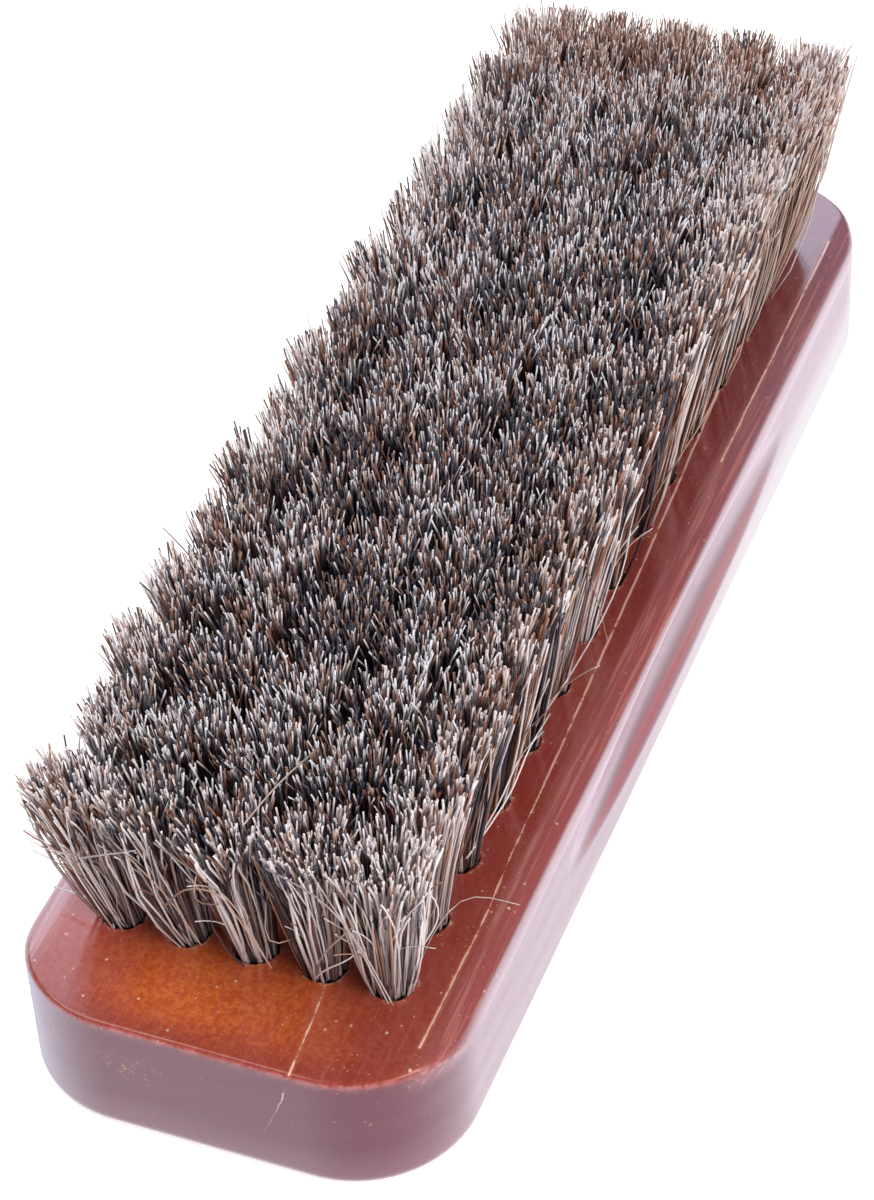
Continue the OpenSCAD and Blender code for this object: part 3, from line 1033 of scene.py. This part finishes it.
def hair_row(row):
    """All the tufts of one row as one mesh."""
    dice = np.random.default_rng(100 + row)
    paths = np.concatenate([tuft_paths(row, tuft, dice) for tuft in range(tufts_in_row)])
    count = len(paths)
    thick = dice.uniform(0.75, 1.25, count) + 0.5 * (dice.uniform(0, 1, count) < 0.15)
    thick = hair_radius * math.sqrt(hairs_in_tuft / hairs_in(row)) * thick
    x, y = paths[:, -1, 0] / mm, paths[:, -1, 1] / mm
    right, left = smooth_step(-13, -21, y), smooth_step(14, 21, y)
    near, far = smooth_step(-66, -78, x), smooth_step(66, 76, x)
    outer = np.maximum(np.maximum(right, near), np.maximum(left, far))
    thick = thick * (1 + 0.3 * np.maximum(right, near))
    taper = np.linspace(1.0, 0.75, hair_steps)
    tones = hair_tones(x, y, right, near, left, dice)
    turns = dice.uniform(0, 2 * np.pi, count)
    return hair_mesh(f"hair_row_{row + 1:02d}", paths, thick[:, None] * taper, turns, tones, outer)


for row in range(rows):
    number = f"{row + 1:02d}"
    piece = new_piece(f"hair_row_{number}", hair_row(row), hair)
    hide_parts(f"tuft_row_{number}")
print(rows, "rows with", tufts_in_row * sum(hairs_in(row) for row in range(rows)), "hairs")

# %% [markdown]
# ## Stray hairs
# A used brush has hairs that have come loose or were missed by the trimming. A few long ones
# are given as a list of points that they pass near. The rest are scattered round the
# outer tufts: they leave a hole like the others, but curl outwards, and most stop short.

# %% Hairs given one by one, as points in millimetres
loose_hairs = [
    [(-64, -7, 45), (-70, -5, 45), (-76, -3.5, 44)],
    [(-70, 24, 19), (-70.5, 20, 19.5), (-71, 17, 18.8), (-72.2, 15.5, 16)],
    [(-77, 6.5, 29), (-78.5, 4, 33.5), (-79.5, 1.5, 36.5), (-79, -1.5, 36), (-78, -2.5, 32), (-74, -4, 20)],
    [(-80, 14, 37), (-80, 10, 39), (-80.5, 7, 41)],
    [(-81, 4.5, 43.5), (-80, 1.5, 40), (-78.5, -1, 36), (-77, -2.7, 31), (-74, -3.8, 20)],
    [(-81, -8, 44), (-80, -12.5, 41), (-79, -15, 37), (-76.5, -16.5, 29), (-73, -17.5, 18)],
    [(-80.5, -13.5, 43), (-78.5, -15, 36), (-76, -16.5, 27), (-73, -17, 18)],
    [(-73, -9, 20), (-76, -10.6, 26), (-77.5, -14, 32), (-78.5, -16.5, 36)],
    [(-73, -8.5, 19), (-75.5, -11, 24), (-76, -14, 27), (-77, -16, 30.5)],
    [(-70, -19, 20), (-67, -20, 24.5), (-61, -21.5, 25), (-54, -25, 17)],
    [(-81.5, 12, 45), (-80.8, 10, 42.5), (-79.5, 8, 38), (-77, 5.5, 30.5), (-73.5, 4.5, 20)],
    [(-52, -18, 20), (-46.5, -21.5, 26), (-43, -22.2, 30), (-36, -22.3, 29)],
    [(-24, -22.5, 41), (-17.5, -21.5, 30), (-11.6, -20.5, 18)],
    [(-51, -18, 20), (-50, -21.5, 28), (-45, -22, 31), (-36, -21.5, 26)],
    [(-31, -18, 20), (-28, -23, 30), (-22, -26, 38), (-19, -26, 43)],
    [(2, -18, 21), (5, -23, 32), (9, -27, 40), (11, -27.5, 45)],
]


stray_steps, scattered_count = 13, 270


def rounded_path(points, rounds=3):
    """Corner cutting: each corner gives way to points at 1/4 and 3/4 of its two sides."""
    path = np.array(points, float) * mm
    for _ in range(rounds):
        cut = np.stack([0.75 * path[:-1] + 0.25 * path[1:], 0.25 * path[:-1] + 0.75 * path[1:]], 1)
        path = np.concatenate([path[:1], cut.reshape(-1, 3), path[-1:]])
    at = np.linspace(0, len(path) - 1, stray_steps)
    return np.stack([np.interp(at, np.arange(len(path)), path[:, k]) for k in range(3)], -1)


right_side, left_side, near_end, far_end = range(4)
side_ways = np.array([[0, -1, 0], [0, 1, 0], [-1, 0, 0], [1, 0, 0]])
side_odds = np.array([2, 1, 4, 1])


def scattered_strays(count, dice):
    """Curled hairs out of the outer tufts: a three-point blend with a large curl."""
    side = dice.choice(np.repeat([right_side, left_side, near_end, far_end], side_odds), count)
    along = side < near_end
    end_row = np.where(side == near_end, 0, rows - 1)
    row = np.where(along, dice.integers(0, rows, count), end_row)
    tuft = np.where(along, side * left_tuft, dice.integers(0, tufts_in_row, count))
    frames = [hole_frame(r, t) for r, t in zip(row, tuft)]
    middle, out = (np.stack(part) for part in zip(*frames))
    away = side_ways[side]
    length = dice.uniform(0.55, 1.03, count)[:, None] * hair_length
    reach = dice.uniform(0.5, 5, count)[:, None] * mm
    wander = dice.normal(0, 2.6 * mm, (count, 3)) * [1, 1, 0.2]
    wander = wander * np.where(side == right_side, 0.6, 1.0)[:, None]
    root = middle - out * 2 * mm + away * 1.3 * mm
    tip = middle + out * length + away * reach + wander
    bend_at = middle + out * length * 0.55 + away * 1.5 * mm
    t = np.linspace(0, 1, stray_steps)[None, :, None]
    path = blend(root, bend_at, tip, t)
    way = dice.normal(0, 1, (count, 1, 3))
    curl = dice.normal(0, 0.9 * mm, (count, 1, 1)) * np.sin(dice.uniform(2, 6.5, (count, 1, 1)) * t) * t
    return path + way * curl * [1, 1, 0.4]


def make_strays():
    """Placed and scattered stray hairs as one mesh."""
    dice = np.random.default_rng(41)
    placed = np.stack([rounded_path(points) for points in loose_hairs])
    scattered = scattered_strays(scattered_count, dice)
    paths = np.concatenate([placed, scattered])
    thick = [np.full(len(placed), 1.1), dice.uniform(0.7, 1.25, len(scattered))]
    taper = hair_radius * np.linspace(1.0, 0.6, stray_steps)
    tones = [dice.uniform(0.64, 0.9, len(placed)), dice.uniform(0.5, 0.95, len(scattered))]
    turns = dice.uniform(0, 2 * np.pi, len(paths))
    radii = np.concatenate(thick)[:, None] * taper
    return hair_mesh("stray_hairs", paths, radii, turns, np.concatenate(tones), np.ones(len(paths)))


strays = new_piece("stray_hairs", make_strays(), hair)
print("stray hairs:", len(strays.data.polygons), "faces")

# %% [markdown]
# ## The anchor wires
# The wires stay as the construction model has them, deep in their holes. They get the finish of
# drawn steel strip: grey, with fine lines along it.

# %% Steel for the anchor wires
def make_steel():
    """Drawn steel: a metal whose roughness follows fine lines."""
    material, tree, shader = new_material("anchor_wire")
    place = add(tree, "TexCoord").outputs["Object"]
    lines = noise(tree, vector_node(tree, "MULTIPLY", place, (200, 8000, 8000)), 1.0, 3.0)
    grey = ramp(tree, lines, [(0.3, (0.50, 0.50, 0.51)), (0.7, (0.64, 0.64, 0.65))])
    roughness = band(tree, lines, 0.3, 0.7, 0.25, 0.45)
    fill(tree, shader, {"Base Color": grey, "Roughness": roughness, "Metallic": 1.0})
    return material


steel = make_steel()
for name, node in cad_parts.items():
    if name.startswith("anchor_row"):
        for slot in node.material_slots:
            slot.link = "OBJECT"
            slot.material = steel
print("anchors wear", steel.name)

# %% [markdown]
# ## The floor
# The photo was taken on white, with light from all sides. The floor is a plain white sheet. The
# camera and the lacquer see it at full white, and it still takes the brush's soft shadow. From
# below it is clear, so that the back of the block can be looked at.

# %% Floor
def make_floor():
    """A large square just under the brush."""
    size = 3.0
    points = np.array([[-size, -size, 0], [size, -size, 0], [size, size, 0], [-size, size, 0]])
    points[:, 2] = -0.02 * mm
    floor = add_object("floor", new_mesh("floor", points, np.array([[0, 1, 2, 3]])))
    material = bpy.data.materials.new("white_floor")
    tree = empty_tree(material)
    paper = add(tree, "BsdfDiffuse", {"Color": (0.8, 0.8, 0.8, 1)})
    path = add(tree, "LightPath").outputs
    white = add(tree, "Emission", {"Strength": math_node(tree, "MULTIPLY", path["Is Camera Ray"], 0.6)})
    lit = add(tree, "AddShader", {0: paper.outputs[0], 1: white.outputs[0]})
    mirrored = math_node(tree, "MAXIMUM", path["Is Glossy Ray"], path["Is Transmission Ray"])
    pale = add(tree, "Emission", {"Color": (0.97, 0.93, 0.97, 1), "Strength": 0.95})
    both = add(tree, "MixShader", {0: mirrored, 1: lit.outputs[0], 2: pale.outputs[0]})
    clear = add(tree, "BsdfTransparent")
    below = add(tree, "NewGeometry").outputs["Backfacing"]
    surface = add(tree, "MixShader", {0: below, 1: both.outputs[0], 2: clear.outputs[0]})
    add(tree, "OutputMaterial", {0: surface.outputs[0]})
    floor.data.materials.append(material)
    return floor


floor = make_floor()
print("floor ready")


# %% [markdown]
# ## The lamps and the surroundings
# A glossy block shows its surroundings, so they matter as much as the lamps. A cool window from
# behind rakes over the shoulder. A nearly neutral lamp overhead and a warm one on the near side
# open up the shadows. All are large, because large lamps make soft shadows, like the photo's.

# %% Light
lamp_aim = Vector((0, 0, 20)) * mm


def add_lamp(name, place, size, power, colour):
    """A soft square lamp at a place, in metres, that faces the brush."""
    data = bpy.data.lights.new(name, "AREA")
    data.shape, data.size = "SQUARE", size
    data.energy, data.color = power, colour
    lamp = add_object(name, data)
    lamp.location = place
    lamp.visible_camera = False
    lamp.rotation_euler = (lamp_aim - Vector(place)).to_track_quat("-Z", "Y").to_euler()
    return lamp


def make_world():
    """Pale surroundings: white to the camera, and to gloss up to a low horizon, dim above it."""
    world = bpy.data.worlds.new("studio")
    tree = empty_tree(world)
    path = add(tree, "LightPath").outputs
    height = add(tree, "SeparateXYZ", {0: add(tree, "TexCoord").outputs["Generated"]}).outputs[2]
    horizon = {"Value": height, "From Min": 0.22, "From Max": 0.34, "To Min": 1.0, "To Max": 0.16}
    around = add(tree, "MapRange", horizon).outputs[0]
    lit = add(tree, "Mix", {0: path["Is Glossy Ray"], 2: 0.36, 3: around}, data_type="FLOAT").outputs[0]
    seen = add(tree, "Mix", {0: path["Is Camera Ray"], 2: lit, 3: 1.0}, data_type="FLOAT").outputs[0]
    back = add(tree, "Background", {"Color": (1, 1, 1, 1), "Strength": seen})
    add(tree, "OutputWorld", {0: back.outputs[0]})
    bpy.context.scene.world = world


make_world()
add_lamp("window", (0.80, 0.52, 0.72), 1.05, 7.2, (0.77, 0.87, 1.0))
add_lamp("ceiling", (-0.15, 0.45, 0.85), 0.5, 4.0, (1.0, 0.98, 0.97))
add_lamp("front", (-0.42, -0.85, 0.45), 0.6, 8.0, (1.0, 0.93, 0.86))
bpy.context.scene.view_settings.view_transform = "Standard"
